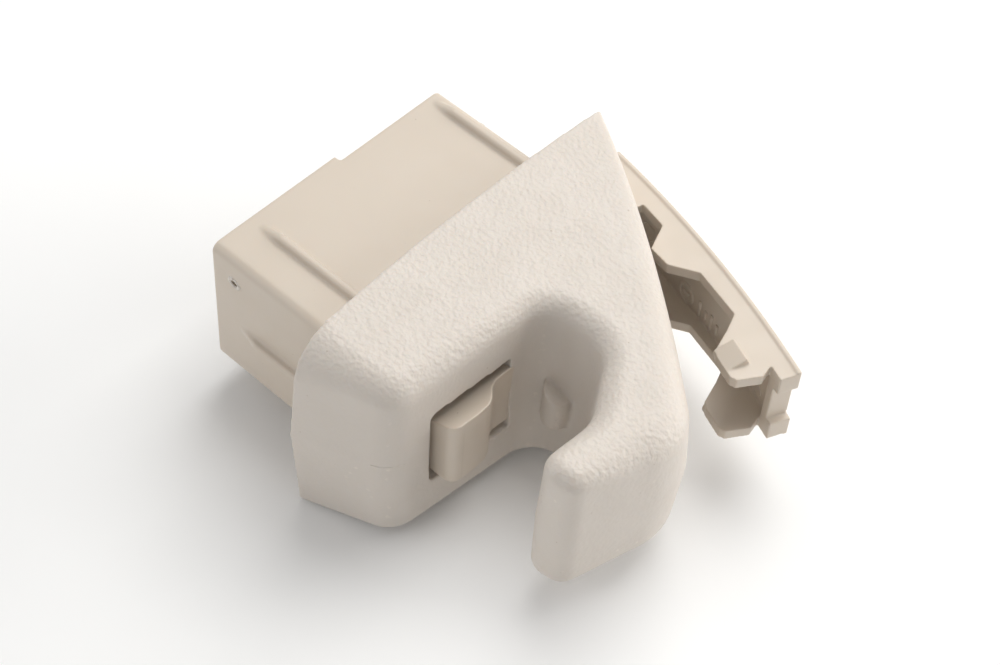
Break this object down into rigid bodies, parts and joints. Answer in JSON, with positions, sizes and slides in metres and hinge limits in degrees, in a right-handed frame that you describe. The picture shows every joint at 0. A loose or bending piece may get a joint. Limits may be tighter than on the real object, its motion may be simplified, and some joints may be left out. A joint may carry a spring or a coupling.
{
  "type": "panel-mounted snap-in rod hook",
  "caption": "Snap-in plastic hook that clips into a panel, grips a rod behind a spring tongue, and hides its mounting screw under a swinging cover.",
  "frame": {"origin": "middle of the mounting face, on the axis of the stem, where the bowed face touches the panel", "axes": "+Y is the way the stem goes into the panel, +X runs along the mounting face towards the head's pointed corner, +Z is the outward normal of the grained front face"},
  "size_m": [0.044, 0.0463, 0.023],
  "materials": {
    "grained_shell": "fine moulded grain, warm beige",
    "smooth_plastic": "smooth satin moulded plastic, warm beige",
    "plated_steel": "zinc plated steel"
  },
  "bodies": {
    "body": {"hook_body": "grained_shell", "stem_box": "smooth_plastic", "mounting_screw": "plated_steel", "screw_washer": "plated_steel", "compression_sleeve": "plated_steel"},
    "tongue": {"spring_tongue": "smooth_plastic"},
    "latch": {"stem_latch": "smooth_plastic"},
    "cover": {"screw_cover": "smooth_plastic"}
  },
  "joints": [
    {"name": "cover_swing", "type": "hinge", "parent": "body", "child": "cover", "pos_m": [0.0233, 0.00545, 0], "axis": [0, 0, 1], "range_deg": [-18, 0]},
    {"name": "tongue_flex", "type": "hinge", "parent": "body", "child": "tongue", "pos_m": [-0.0027, -0.01012, 0], "axis": [0, 0, -1], "range_deg": [0, 10], "stiffness_Nm_per_rad": 1},
    {"name": "latch_flex", "type": "hinge", "parent": "body", "child": "latch", "pos_m": [0.013, 0.0034, 0], "axis": [0, 0, 1], "range_deg": [0, 13], "stiffness_Nm_per_rad": 1.5}
  ]
}
